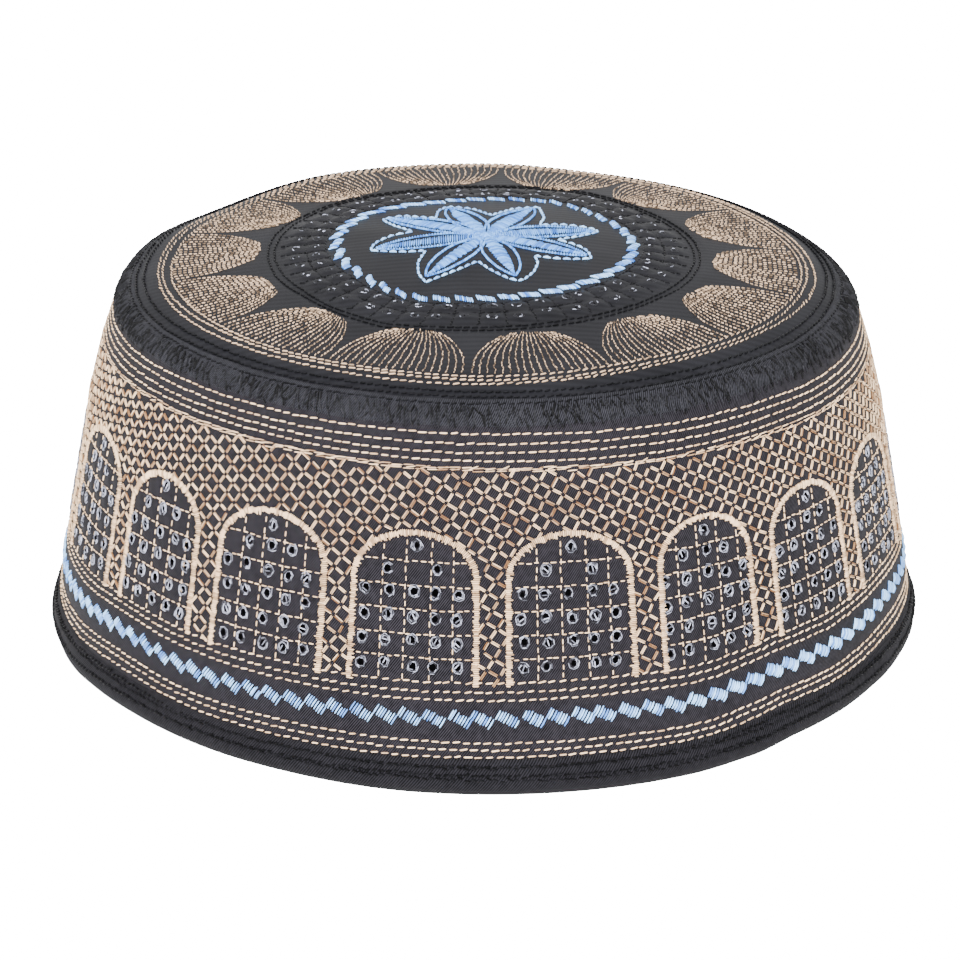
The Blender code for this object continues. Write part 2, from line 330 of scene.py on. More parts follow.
BEIGE = thread("beige_cotton_thread", "#7a5434", "#f2d0a8", 0.5, 0.2)
BROWN_BEIGE = thread("brown_beige_thread", "#22170f", "#c0a387", 0.5, 0.15)
SKY_BLUE = thread("light_blue_rayon_thread", "#2560b8", "#a4d3ff", 0.45, 0.2)
DEEP_BLUE = thread("blue_rayon_thread", "#164fa8", "#6ba8ee", 0.5, 0.1)
BLACK = thread("black_polyester_thread", "#040405", "#131316", 0.5, 0.1)
OVERCAST = thread("black_overcast_thread", "#020203", "#2a2a2f", 0.45, 0.2)
GREY = thread("grey_lurex_thread", "#17171d", "#b0b3c6", 0.3, 0.4)
# Dark domes in the eyelets' middles are painted shade that stands for the holes.
PAINTED_HOLE_SHADE = thread("painted_needle_hole_shade", "#020202", "#040405", 0.9, 0.0)

# %% [markdown]
# ## The cloth
#
# A cloth layer is a section spun round the axis. A fine section gives enough points for the
# quilting: each point is then moved in or out along the surface by a small relief, which sinks
# at the stitched lines and swells between them.

# %% Spin a section into a closed ring or dome
def add_piece(name, mesh, material):
    """Puts a mesh into the scene as a piece of the cap."""
    mesh.materials.append(material)
    piece = bpy.data.objects.new(name, mesh)
    bpy.context.scene.collection.objects.link(piece)
    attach(piece, "root")
    return piece


def spun_cloth(name, section, steps, ring, material, node, relief):
    """Spins a section of (radius, height), top to bottom, into a cloth piece with a relief."""
    bm = bmesh.new()
    verts = [bm.verts.new((0.0, -radius, height)) for radius, height in section]
    edges = [bm.edges.new(pair) for pair in zip(verts[:-1], verts[1:])]
    if ring:
        edges.append(bm.edges.new((verts[-1], verts[0])))
    bmesh.ops.spin(bm, geom=verts + edges, cent=(0, 0, 0), axis=(0, 0, 1), angle=math.tau, steps=steps,
                   use_merge=True, use_duplicate=False)
    bmesh.ops.remove_doubles(bm, verts=bm.verts, dist=0.005 * MM)
    bmesh.ops.recalc_face_normals(bm, faces=bm.faces)
    mesh = bpy.data.meshes.new(name)
    bm.to_mesh(mesh)
    bm.free()
    mesh.shade_smooth()
    move_cloth(mesh, relief)
    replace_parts(add_piece(name, mesh, material), node)


def move_cloth(mesh, relief):
    """Gives a spun cloth its relief, a function of azimuth, height and radius, and its soft set."""
    points = np.empty(len(mesh.vertices) * 3)
    mesh.vertices.foreach_get("co", points)
    points = points.reshape(-1, 3)
    normals = np.empty_like(points).ravel()
    mesh.vertices.foreach_get("normal", normals)
    normals = normals.reshape(-1, 3)
    radius = np.hypot(points[:, 0], points[:, 1])
    azimuth = np.degrees(np.arctan2(points[:, 0], -points[:, 1]))
    points = points + normals * relief(azimuth, points[:, 2], radius)[:, None]
    mesh.vertices.foreach_set("co", soften(points).ravel())
    mesh.update()
    print(mesh.name, len(mesh.polygons), "faces, relief and soft set applied")


def outline_at(length, inset):
    """A section point at a walked length, moved inward by an inset."""
    slope = np.interp(length, LINE_LENGTH, SLOPE)
    radius = np.interp(length, LINE_LENGTH, LINE_RADIUS) + math.sin(slope) * inset
    return max(radius, 0.0), np.interp(length, LINE_LENGTH, LINE_HEIGHT) - math.cos(slope) * inset


# %% [markdown]
# ## Where the patterns lie
#
# The arches stand side by side round the wall. They were sewn by eye, so the seven pillars that
# the front shows have their own azimuths, and the rest share what is left evenly. Each arch is
# straight up to its spring line and then half an ellipse.

# %% The arches' plan
PILLARS = [-58.6, -39.7, -19.3, 1.1, 21.6, 39.8, 58.9]
HIDDEN_GAPS = 12
rest = 360 - (PILLARS[-1] - PILLARS[0])
PILLARS += [PILLARS[6] + rest * step / HIDDEN_GAPS for step in range(1, HIDDEN_GAPS)]
PILLARS = np.array(PILLARS)
NEXT_PILLARS = np.append(PILLARS[1:], PILLARS[0] + 360)
ARCH_CENTRES = (PILLARS + NEXT_PILLARS) / 2
PILLAR_HALF = 2.1
ARCH_HALF = (NEXT_PILLARS - PILLARS) / 2 - PILLAR_HALF
ARCH_FOOT, ARCH_SPRING, ARCH_APEX = 23.0 * MM, 43.8 * MM, 52.7 * MM
ARCH_RISE = ARCH_APEX - ARCH_SPRING
BORDER_WIDTH = 1.42 * MM
LATTICE_TOP = 65.0 * MM
print(len(ARCH_CENTRES), "arches, half widths", np.round(ARCH_HALF, 1))


def arch_distance(azimuth, height):
    """How far a spot on the wall lies outside the nearest arch's border line, in metres."""
    azimuth, height = np.asarray(azimuth, float), np.asarray(height, float)
    offset = wrapped(azimuth[..., None] - ARCH_CENTRES)
    near = np.abs(offset).argmin(-1)
    side = np.abs(np.take_along_axis(offset, near[..., None], -1)[..., 0])
    half = ARCH_HALF[near]
    width = degree_width(at_height(height))
    straight = (side - half) * width
    above = np.maximum(height - ARCH_SPRING, 0)
    ratio = np.sqrt((side / half) ** 2 + (above / ARCH_RISE) ** 2)
    steep = np.sqrt((side / (half * half * width)) ** 2 + (above / ARCH_RISE ** 2) ** 2)
    slope = steep / np.maximum(ratio, 1e-6)
    curved = (ratio - 1) / np.maximum(slope, 1.0)
    return np.where(height > ARCH_SPRING, curved, straight)


# %% The side band's cloth
GRID_COLUMNS = np.array([-4.4, -1.2, 2.0, 5.2])
GRID_ROWS = np.array([28.2, 32.8, 37.6, 42.3, 47.1]) * MM
EYELET_COLUMNS = np.array([-6.4, -3.4, 0.0, 2.9, 5.7])
EYELET_ROWS = np.array([26.6, 31.4, 36.2, 41.0, 45.6, 50.2]) * MM
UPPER_ROWS = np.array([71.7, 70.0, 68.4, 66.9]) * MM
BASE_ROWS = np.array([23.5, 21.8, 20.2]) * MM
LOWER_ROWS = np.array([11.6, 10.1, 8.55]) * MM
LATTICE_A = np.array([1.57, -1.39 * MM])
LATTICE_B = np.array([0.96, 2.23 * MM])
LATTICE_START = np.array([-3.22, 63.2 * MM])


def dip(distance, width):
    """A smooth notch, 1 at the stitched line and fading over width."""
    return np.exp(-(distance / width) ** 2)


def lattice_shares(azimuth, height):
    """A spot's place in the lattice, in steps along its two directions."""
    basis = np.linalg.inv(np.array([LATTICE_A, LATTICE_B]).T)
    gap = np.stack([azimuth - LATTICE_START[0], height - LATTICE_START[1]])
    return np.tensordot(basis, gap, 1)


def side_relief(azimuth, height, radius):
    """How far the quilting moves the side band's cloth, in metres."""
    outside = radius > np.interp(-height, -LINE_HEIGHT, LINE_RADIUS) - 1.0 * MM
    height = height - row_drift(azimuth, height)
    relief = np.zeros_like(height)
    for row in (*UPPER_ROWS, *BASE_ROWS, *LOWER_ROWS):
        relief -= 0.16 * MM * dip(height - row, 0.4 * MM)
    away = arch_distance(azimuth, height)
    inside = (away < 0) & (height > ARCH_FOOT)
    offset = wrapped(azimuth[:, None] - ARCH_CENTRES)
    offset = np.take_along_axis(offset, np.abs(offset).argmin(-1)[:, None], -1)[:, 0]
    sink = np.zeros_like(height)
    for column in GRID_COLUMNS:
        sink = np.maximum(sink, dip((offset - column) * 1.55 * MM, 0.6 * MM))
    for row in GRID_ROWS:
        sink = np.maximum(sink, dip(height - row, 0.6 * MM))
    relief += np.where(inside, 0.12 * MM - 0.32 * MM * sink, 0)
    one, two = lattice_shares(azimuth, height)
    puff = np.abs(np.sin(math.pi * one) * np.sin(math.pi * two))
    field = (away > 0) & (height > ARCH_FOOT) & (height < LATTICE_TOP)
    relief += np.where(field, 0.28 * MM * puff - 0.1 * MM, 0)
    return np.where(outside, relief, 0)


def side_section():
    """The side band's closed section: a fine outer face, and a plainer inner one 2 mm in."""
    top = SEAM_LENGTH + 2.6 * MM
    outer = [outline_at(length, 0.0) for length in np.arange(top, at_height(3.0 * MM), 0.9 * MM)]
    inner = [outline_at(length, 2.0 * MM) for length in np.linspace(at_height(3.0 * MM), top, 14)]
    return outer + inner


spun_cloth("side_band_cloth", side_section(), 576, True, SIDE_TWILL, "side_band", side_relief)

# %% [markdown]
# On the crown everything from the flower's ring outwards follows one uneven circle. A trellis of
# small pillows lies outside it: two rows of cells, one eyelet in each, and black rows beyond.

# %% The crown's plan and its cloth
# Direction in degrees counter-clockwise from +X, radius in millimetres.
RING_LINE = np.array((
    (0, 31.0), (40, 31.7), (66, 34.9), (89, 31.8), (113, 30.9), (137, 34.1), (160, 32.4),
    (190, 31.0), (214, 31.2), (245, 34.2), (263, 32.5), (290, 31.1), (323, 30.2), (360, 31.0)))
CELLS = np.array([-34.5, -27.5, -20, -13, -5.5, 2, 10, 18.5, 27, 34, 42, 50.5, 60])
CELLS = np.append(CELLS, np.linspace(60, 325.5, 34)[1:-1])
SPOKES = (CELLS + np.append(CELLS[1:], CELLS[0] + 360)) / 2
# How far the trellis's three circles and the two black rows lie outside the ring.
TRELLIS_INNER, TRELLIS_MIDDLE, TRELLIS_OUTER = 2.4 * MM, 6.8 * MM, 11.4 * MM
RING_BLACK_ROWS = np.array([13.2, 14.6]) * MM
CROWN_BLACK_ROWS = np.array([75.2, 73.8, 72.2]) * MM
CROWN_BEIGE_ROWS = np.array([69.5, 68.1, 66.6]) * MM
# Azimuth in degrees, millimetres that the beige rows stray outwards there.
BEIGE_DRIFT = np.array((
    (-180, 0), (-90, 0), (-60, -0.2), (-20, 0.3), (0, 0.7), (14, 0.3), (30, -0.7), (60, -0.4),
    (90, 0), (180, 0)))


def ring_line(azimuth):
    """The uneven radius of the blue ring at azimuths in degrees."""
    return np.interp((np.asarray(azimuth) - 90) % 360, *RING_LINE.T) * MM


def beige_drift(azimuth):
    """How far the crown's beige rows stray outwards, in metres."""
    return np.interp(wrapped(azimuth), *BEIGE_DRIFT.T) * MM


def crown_relief(azimuth, height, radius):
    """How far the quilting moves the crown's cloth, in metres."""
    upper = height > np.interp(radius, LINE_RADIUS, LINE_HEIGHT) - 1.0 * MM
    beyond = radius - ring_line(azimuth)
    relief = np.zeros_like(height)
    for row in CROWN_BEIGE_ROWS:
        relief -= 0.14 * MM * dip(radius - row - beige_drift(azimuth), 0.5 * MM)
    for row in RING_BLACK_ROWS:
        relief -= 0.2 * MM * dip(beyond - row, 0.6 * MM)
    gap = np.abs(wrapped(azimuth[:, None] - SPOKES)).min(1)
    spokes = np.sin(math.pi * np.clip(gap / 8, 0, 0.5))
    bands = np.sin(math.pi * (beyond - TRELLIS_INNER) / (TRELLIS_MIDDLE - TRELLIS_INNER))
    trellis = (beyond > TRELLIS_INNER) & (beyond < TRELLIS_OUTER)
    relief += np.where(trellis, 0.6 * MM * np.sqrt(np.abs(spokes * bands)) - 0.14 * MM, 0)
    return np.where(upper, relief, 0)


def crown_section():
    """The crown's section: from its centre out to the shoulder, and back 1.9 mm below."""
    edge = SEAM_LENGTH - 1.4 * MM
    outer = [outline_at(length, 0.0) for length in np.append(np.arange(0, edge, 1.0 * MM), edge)]
    inner = [outline_at(length, 1.9 * MM) for length in np.linspace(edge, 0, 14)]
    return outer + inner


spun_cloth("crown_cloth", crown_section(), 432, False, CROWN_SATIN, "crown_panel",
           crown_relief)

# %% The shoulder binding's cloth and the hem tape
def plain_relief(azimuth, height, radius):
    """A slight unevenness, as in a tape sewn down by eye."""
    return 0.12 * MM * np.sin(np.radians(azimuth * 23)) * np.sin(np.radians(azimuth * 7 + 40))


def shoulder_section():
    """A strip over the seam, 1 mm thick and slightly proud, with rounded long edges."""
    start, end = SEAM_LENGTH - 2.6 * MM, SEAM_LENGTH + 4.2 * MM
    outer = [outline_at(length, -0.15 * MM) for length in np.linspace(start + 0.5 * MM, end - 0.5 * MM, 9)]
    inner = [outline_at(length, 0.7 * MM) for length in np.linspace(end - 0.5 * MM, start + 0.5 * MM, 6)]
    return [outline_at(start, 0.3 * MM)] + outer + [outline_at(end, 0.3 * MM)] + inner


def hem_section():
    """The tape's outer leg, its rolled fold, flat on the floor, and its inner leg."""
    heights = np.array([8.2, 7.6, 7.0, 6.2, 5.4, 4.5, 3.6, 2.7, 1.9, 1.2, 0.6, 0.15])
    proud = np.array([-0.2, 0.35, 0.62, 0.78, 1.0, 1.14, 1.3, 1.2, 0.9, 0.45, -0.15, -0.75])
    outer = [(outline_at(at_height(h * MM), 0.0)[0] + p * MM, h * MM) for h, p in zip(heights, proud)]
    flat = [(91.3 * MM, 0.0), (90.1 * MM, 0.0), (89.6 * MM, 0.4 * MM), (89.4 * MM, 1.0 * MM)]
    inner = [(89.35 * MM, 3.0 * MM), (89.3 * MM, 6.7 * MM), (89.5 * MM, 7.2 * MM), (90.0 * MM, 7.4 * MM)]
    return outer + flat + inner


def hem_relief(azimuth, height, radius):
    """The same, but the fold stays flat on the floor."""
    return plain_relief(azimuth, height, radius) * (height > 1 * MM)


spun_cloth("shoulder_binding_cloth", shoulder_section(), 360, True, BINDING,
           "seam_binding", plain_relief)
spun_cloth("hem_tape_cloth", hem_section(), 480, True, HEM_TAPE, "hem_binding", hem_relief)

# %% [markdown]
# ## One stitch, laid thousands of times
#
# A stitch is a short arched thread whose ends dive into the cloth. One small rounded form is
# made with Blender's sphere, drawn out along X and bent at its ends, and then copied by array
# arithmetic to every place: its length, width and height come from the two ends it is given.

# %% The stitch form
def stitch_form(sides, rings, blunt, arch):
    """A unit thread along X: half a length, half a width and half a height long."""
    bm = bmesh.new()
    bmesh.ops.create_uvsphere(bm, u_segments=sides, v_segments=rings, radius=1.0)
    bmesh.ops.rotate(bm, verts=bm.verts, cent=(0, 0, 0), matrix=Matrix.Rotation(math.pi / 2, 3, "Y"))
    bmesh.ops.triangulate(bm, faces=bm.faces)
    for vert in bm.verts:
        reach = math.copysign(abs(vert.co.x) ** blunt, vert.co.x)
        vert.co = (reach, vert.co.y, vert.co.z - arch * reach * reach)
    bm.verts.index_update()
    points = np.array([vert.co for vert in bm.verts])
    faces = np.array([[vert.index for vert in face.verts] for face in bm.faces])
    bm.free()
    return points, faces


STITCH = stitch_form(5, 4, 0.6, 0.7)
SATIN_STITCH = stitch_form(5, 3, 0.5, 0.5)
FINE_STITCH = stitch_form(4, 3, 0.5, 0.5)
print("faces in a stitch:", len(STITCH[1]), "in a fine one:", len(FINE_STITCH[1]))


def stitch_ends(azimuth_a, length_a, azimuth_b, length_b, out):
    """Two ends on the cap and the normal between them, from azimuths and walked lengths."""
    start, normal_a = on_cap(azimuth_a, length_a, out)
    end, normal_b = on_cap(azimuth_b, length_b, out)
    return start, end, (normal_a + normal_b) / 2


def lay(name, form, rows, width, height, material, out=0.0, lift=0.0, tone=(0.2, 0.8)):
    """Joins one copy of a form for each stitch of some rows into a single piece on the cap.

    A row is its stitches' first azimuths and walked lengths, and their last ones. The width,
    the height, and how far out the ends and the whole thread are moved are in millimetres.
    """
    row_ends = [np.concatenate([np.ravel(values) for values in part]) for part in zip(*rows)]
    start, end, normal = stitch_ends(*row_ends, np.asarray(out) * MM)
    count = len(start)
    width, height, lift = (np.broadcast_to(np.asarray(value) * MM, count)[:, None, None]
                           for value in (width, height, lift))
    along = end - start
    length = np.linalg.norm(along, axis=1, keepdims=True)
    along = along / np.maximum(length, 1e-9)
    side = np.cross(normal, along)
    side /= np.maximum(np.linalg.norm(side, axis=1, keepdims=True), 1e-9)
    up = np.cross(along, side)
    unit, faces = form
    middle = ((start + end) / 2)[:, None, :]
    points = (middle + along[:, None, :] * unit[None, :, :1] * length[:, None, :] / 2
              + side[:, None, :] * unit[None, :, 1:2] * width / 2
              + up[:, None, :] * (unit[None, :, 2:3] * height / 2 + lift))
    every = (faces[None] + (np.arange(count) * len(unit))[:, None, None]).reshape(-1)
    mesh = bpy.data.meshes.new(name)
    mesh.vertices.add(count * len(unit))
    mesh.vertices.foreach_set("co", points.ravel())
    mesh.loops.add(len(every))
    mesh.loops.foreach_set("vertex_index", every)
    mesh.polygons.add(len(every) // 3)
    mesh.polygons.foreach_set("loop_start", np.arange(0, len(every), 3))
    mesh.update(calc_edges=True)
    mesh.shade_smooth()
    tones = mesh.attributes.new("tone", "FLOAT", "POINT")
    tones.data.foreach_set("value", np.repeat(chance.uniform(*tone, count), len(unit)))
    add_piece(name, mesh, material)
    print(f"{name}: {count} stitches, {len(mesh.polygons)} triangles")


# %% [markdown]
# ## Running rows
#
# A running row is the simplest quilting line: stitch, gap, stitch. On the wall the rows lean a
# little, because each stitch ends slightly higher than it begins. A slow drift and a small
# chance error keep the rows from looking printed.

# %% Rows of running stitch round the cap
def running_row(length, pitch, share, slant, drift=0.12 * MM, wobble=0.06 * MM):
    """The stitch ends of one closed row at a walked length."""
    count = int(round(360 * degree_width(length) / pitch))
    step = 360 / count
    centre = np.arange(count) * step + chance.normal(0, 0.05 * step, count) + chance.uniform(0, step)
    half = step * share / 2 * chance.normal(1, 0.08, count)
    phase = chance.uniform(0, 6.28, 3)
    slow, quick = np.sin(np.radians(centre * 3) + phase[0]), np.sin(np.radians(centre * 8) + phase[1])
    wave = drift * (slow + 0.6 * quick)
    wave += chance.normal(0, wobble, count)
    tilt = slant * chance.normal(1, 0.4, count) / 2
    return centre - half, length + wave + tilt, centre + half, length + wave - tilt


upper = [running_row(at_height(h), 2.05 * MM, 0.82, 0.12 * MM) for h in UPPER_ROWS]
base = [running_row(at_height(h), 2.08 * MM, 0.74, 0.24 * MM) for h in BASE_ROWS]
lower = [running_row(at_height(h), 2.08 * MM, 0.78, 0.2 * MM) for h in LOWER_ROWS]
lay("side_running_rows", SATIN_STITCH, upper + base + lower, 0.4, 0.5, BEIGE,
    lift=0.05, tone=(0.4, 1.2))

# %% [markdown]
# ## The lattice
#
# Between the arches and above them the cloth is netted with short double stitches. They meet
# nose to nose at needle holes and close round small leaning squares. Each side of a square is
# two threads side by side, so two fine stitches are laid with a hair's breadth between them.

# %% Lattice stitches, clipped to the arches
def lattice_sides():
    """Ends of the lattice's sides, as azimuths and heights, wherever the field is open."""
    steps = np.arange(-190, 191)
    one, two = (grid.ravel() for grid in np.meshgrid(steps, steps))
    nodes = LATTICE_START + one[:, None] * LATTICE_A + two[:, None] * LATTICE_B
    nodes = nodes + chance.normal(0, 1, nodes.shape) * (0.07, 0.1 * MM)
    keep = (np.abs(nodes[:, 0]) < 184) & (nodes[:, 1] > 18 * MM) & (nodes[:, 1] < 70 * MM)
    lookup = {(int(i), int(j)): node for i, j, node, inside in zip(one, two, nodes, keep) if inside}
    sides = []
    for (i, j), node in lookup.items():
        for other in ((i + 1, j), (i, j + 1)):
            if other in lookup:
                sides.append((node, lookup[other]))
    sides = np.array(sides)
    middle = sides.mean(1)
    open_field = arch_distance(middle[:, 0], middle[:, 1]) > 0.7 * MM
    open_field &= (middle[:, 1] > ARCH_FOOT + 0.4 * MM) & (middle[:, 1] < LATTICE_TOP - 0.3 * MM)
    open_field &= np.abs(middle[:, 0]) < 180
    return sides[open_field]


THREAD_ASIDE = 0.16 * MM
sides = lattice_sides()
start, end = sides[:, 0], sides[:, 1]
share = 0.12 + chance.normal(0, 0.02, (len(sides), 1))
start, end = start + (end - start) * share, end - (end - start) * share
width = degree_width(at_height((start + end)[:, 1] / 2))
across = np.stack([-(end - start)[:, 1] / width, (end - start)[:, 0] * width], -1)
across = across / np.hypot(across[:, 0] * width, across[:, 1])[:, None] * THREAD_ASIDE
pairs = []
for side in (-1, 1):
    first, last = start + across * side, end + across * side
    pairs.append((first[:, 0], at_height(first[:, 1]), last[:, 0], at_height(last[:, 1])))
lay("lattice_net", FINE_STITCH, pairs, 0.28, 0.55, BEIGE, out=0.1, lift=0.05, tone=(0.0, 1.1))

# %% [markdown]
# Along its top the net is closed by a loose double line of longer stitches.

# %% The lattice's top edging
EDGING_ROWS = np.array([65.55, 65.05]) * MM
edging = [running_row(at_height(h), 2.3 * MM, 1.02, 0.1 * MM, 0.1 * MM, 0.1 * MM) for h in EDGING_ROWS]
edging.append(running_row(at_height(65.3 * MM), 3.1 * MM, 0.7, 0.6 * MM, 0.1 * MM, 0.12 * MM))
lay("lattice_edging", SATIN_STITCH, edging, 0.27, 0.45, BEIGE, lift=0.08, tone=(0.1, 1.1))

# %% [markdown]
# ## The arches
#
# Each arch is bordered by satin stitch: threads laid side by side straight across the line, so
# close that they make a smooth cord. Their ends stray a little, which gives the ragged edge.

# %% Satin borders
def arch_line(centre, half, pitch):
    """Spots along an arch every pitch, with the direction across the line at each."""
    turn = np.linspace(-math.pi / 2, math.pi / 2, 200)
    azimuth = np.concatenate([np.full(60, -half), half * np.sin(turn), np.full(60, half)])
    climb = np.linspace(ARCH_FOOT, ARCH_SPRING, 61)[:-1]
    height = np.concatenate([climb, ARCH_SPRING + ARCH_RISE * np.cos(turn), climb[::-1]])
    width = degree_width(at_height(height))
    x = azimuth * width
    walked = np.concatenate([[0], np.cumsum(np.hypot(np.diff(x), np.diff(height)))])
    even = np.arange(0, walked[-1], pitch)
    x, z = np.interp(even, walked, x), np.interp(even, walked, height)
    dx, dz = np.gradient(x), np.gradient(z)
    size = np.hypot(dx, dz)
    azimuth = np.interp(even, walked, azimuth)
    return centre + azimuth, z, np.stack([-dz, dx], -1) / size[:, None]


def across_line(azimuth, height, across, reach_in, reach_out):
    """Stitch ends that reach both ways across a line."""
    width = degree_width(at_height(height))
    inner = (azimuth + across[:, 0] * reach_in / width, height + across[:, 1] * reach_in)
    outer = (azimuth - across[:, 0] * reach_out / width, height - across[:, 1] * reach_out)
    return inner[0], at_height(inner[1]), outer[0], at_height(outer[1])


borders = []
for centre, half in zip(ARCH_CENTRES, ARCH_HALF):
    azimuth, height, across = arch_line(centre, half, 0.37 * MM)
    reach = BORDER_WIDTH / 2 * (1 - 0.12 * np.clip((height - ARCH_SPRING) / ARCH_RISE, 0, 1))
    stray = chance.normal(0, 0.1 * MM, (2, len(height)))
    borders.append(across_line(azimuth, height, across, reach + stray[0], reach + stray[1] * 2))
lay("arch_satin_borders", SATIN_STITCH, borders, 0.33, 0.9, BEIGE,
    out=0.1, lift=0.12, tone=(0.3, 1.3))

# %% Fine quilting grid inside the arches
def straight_run(azimuth_a, height_a, azimuth_b, height_b, pitch, share):
    """Stitches along a straight line on the wall, between two spots."""
    width = degree_width(at_height((height_a + height_b) / 2))
    total = math.hypot((azimuth_b - azimuth_a) * width, height_b - height_a)
    count = max(1, int(round(total / pitch)))
    middle = (np.arange(count) + 0.5) / count + chance.normal(0, 0.06, count) / count
    half = share / count / 2 * chance.normal(1, 0.1, count)
    stray = chance.normal(0, 0.07, (2, count))
    places = []
    for t in (middle - half, middle + half):
        places.append(azimuth_a + (azimuth_b - azimuth_a) * t + stray[0] * 0.6)
        places.append(at_height(height_a + (height_b - height_a) * t + stray[1] * MM))
    return places


grid = []
for centre, half in zip(ARCH_CENTRES, ARCH_HALF):
    inner = half - 0.6
    for column in GRID_COLUMNS + chance.normal(0, 0.12, 4):
        foot = ARCH_FOOT + 0.6 * MM
        top = ARCH_SPRING + ARCH_RISE * math.sqrt(max(0, 1 - (column / half) ** 2)) - 1.0 * MM
        grid.append(straight_run(centre + column, foot, centre + column, top, 1.75 * MM, 0.66))
    for row in GRID_ROWS:
        over = max(0, row - ARCH_SPRING) / ARCH_RISE
        reach = inner * math.sqrt(1 - over * over)
        grid.append(straight_run(centre - reach, row, centre + reach, row, 1.6 * MM, 0.72))
lay("arch_quilting_grid", SATIN_STITCH, grid, 0.31, 0.42, BEIGE, tone=(0.5, 1.1))

# %% [markdown]
# ## Eyelets
#
# Each cell of the grid holds a small eyelet: a hole with grey thread drawn round it three times.
# A ring of a few straight stitches round a dark spot, painted shade where the hole is, reads just so, and
# costs few faces.

# %% Rings of stitches round small holes
def eyelet_rings(azimuth, length, radius_across, radius_down, spokes, turns):
    """Stitches that circle each spot, loosely, a given number of turns."""
    count = len(azimuth)
    angle = np.arange(spokes * turns) * 2 * math.pi / spokes + chance.uniform(0, 6.28, (count, 1))
    wander = chance.normal(1, 0.12, (count, spokes * turns + 1))
    layer = 1 + 0.34 * (np.arange(spokes * turns) // spokes) / max(turns - 1, 1)
    width = degree_width(length)[:, None]
    parts = []
    for extra, shift in ((0, 0), (2 * math.pi / spokes * 1.08, 1)):
        grow = layer * wander[:, shift:shift + spokes * turns]
        parts.append(azimuth[:, None] + np.cos(angle + extra) * radius_across * grow / width)
        parts.append(length[:, None] + np.sin(angle + extra) * radius_down * grow)
    return [part.ravel() for part in parts]


def painted_hole_dots(name, azimuth, length, radius, out):
    """Small dark domes at the middle of the eyelets, painted shade in place of their holes, each its own
    size, in millimetres.
    """
    radius = radius * chance.normal(1, 0.14, len(azimuth))
    reach = radius * MM / degree_width(length)
    ends = (azimuth - reach, length, azimuth + reach, length)
    lay(name, STITCH, [ends], radius * 2.4, 0.3, PAINTED_HOLE_SHADE, out=out)


eyelet_azimuth, eyelet_height = [], []
for centre in ARCH_CENTRES:
    for index, row in enumerate(EYELET_ROWS):
        columns = EYELET_COLUMNS
        if index == 4:
            columns = EYELET_COLUMNS[[1, 3] if abs(centre) < 15 else [1, 2, 3]]
        if index == 5:
            columns = EYELET_COLUMNS[[2]]
        eyelet_azimuth += list(centre + columns + chance.normal(0, 0.15, len(columns)))
        eyelet_height += list(row + chance.normal(0, 0.2 * MM, len(columns)))
eyelet_azimuth, eyelet_length = np.array(eyelet_azimuth), at_height(np.array(eyelet_height))
rings = eyelet_rings(eyelet_azimuth, eyelet_length, 0.85 * MM, 1.0 * MM, 7, 3)
lay("arch_eyelet_threads", FINE_STITCH, [rings], 0.19, 0.4, GREY,
    out=0.15, lift=0.05, tone=(-0.4, 1.2))
# Dark domes of painted shade stand for the arch eyelets' holes.
painted_hole_dots("arch_eyelet_holes", eyelet_azimuth, eyelet_length, 0.6, 0.12)

# Threads that were pulled across some of the holes.
crossed = np.flatnonzero(chance.uniform(0, 1, len(eyelet_azimuth)) < 0.55)
tilt = chance.uniform(0, math.pi, len(crossed))
spot, width = eyelet_length[crossed], degree_width(eyelet_length[crossed])
aside = chance.normal(0, 0.25, (2, len(crossed))) * MM
sideways, down = np.cos(tilt) * 0.7 * MM, np.sin(tilt) * 0.8 * MM
pulls = (eyelet_azimuth[crossed] + (aside[0] - sideways) / width, spot + aside[1] - down,
         eyelet_azimuth[crossed] + (aside[0] + sideways) / width, spot + aside[1] + down)
lay("arch_eyelet_pulls", FINE_STITCH, [pulls], 0.3, 0.4, GREY, out=0.25, tone=(0.1, 1.2))

# %% [markdown]
# ## The light blue band
#
# Round the wall, and once more round the crown's flower, runs a chain of slanted satin blocks.
# Eight threads lean the same way and step down to the right, then the next block starts high
# again.

# %% Blue blocks on the wall
BLOCK_COUNT, BLOCK_THREADS = 117, 8
BLOCK_HEIGHT, BLOCK_STEP = 16.4 * MM, 1.85 * MM
grid_shape = (BLOCK_COUNT, BLOCK_THREADS)
block = np.arange(BLOCK_COUNT)[:, None] * 360 / BLOCK_COUNT + chance.normal(0, 0.08, (BLOCK_COUNT, 1))
place = (np.arange(BLOCK_THREADS) / (BLOCK_THREADS - 1) - 0.5)[None, :]
middle_azimuth = block + place * 2.3 + chance.normal(0, 0.03, grid_shape)
middle_height = BLOCK_HEIGHT - place * BLOCK_STEP + chance.normal(0, 0.08 * MM, grid_shape)
stray = chance.normal(1, 0.08, grid_shape)
aside, up = 0.38 * stray, 1.05 * MM * stray
blocks = (middle_azimuth - aside, at_height(middle_height - up),
          middle_azimuth + aside, at_height(middle_height + up))
lay("side_blue_blocks", STITCH, [blocks], 0.37, 0.8, SKY_BLUE,
    out=0.1, lift=0.1, tone=(0.2, 1.2))

# %% Blue blocks round the flower
# Azimuth in degrees, degrees from one block to the next there.
RING_PACE = np.array((
    (-180, 8), (-120, 9.5), (-91, 12), (-55, 11), (-32, 7.4), (0, 8.1), (40, 9.1), (90, 9.8),
    (130, 9.5), (155, 7.2), (180, 8)))
turn = np.linspace(-180, 180, 721)
passed = np.concatenate([[0], np.cumsum(0.5 / np.interp(turn[1:], *RING_PACE.T))])
RING_BLOCKS = round(passed[-1])
block = np.interp(np.arange(RING_BLOCKS) + 0.5, passed * RING_BLOCKS / passed[-1], turn)[:, None]
spread = place * 0.74 * np.interp(block, *RING_PACE.T)
middle_azimuth = block + spread + chance.normal(0, 0.2, (RING_BLOCKS, 1))
rise = (1.2 - 0.3 * np.sin(np.radians(block))) * MM
uneven = chance.normal(0, 0.1 * MM, (RING_BLOCKS, BLOCK_THREADS))
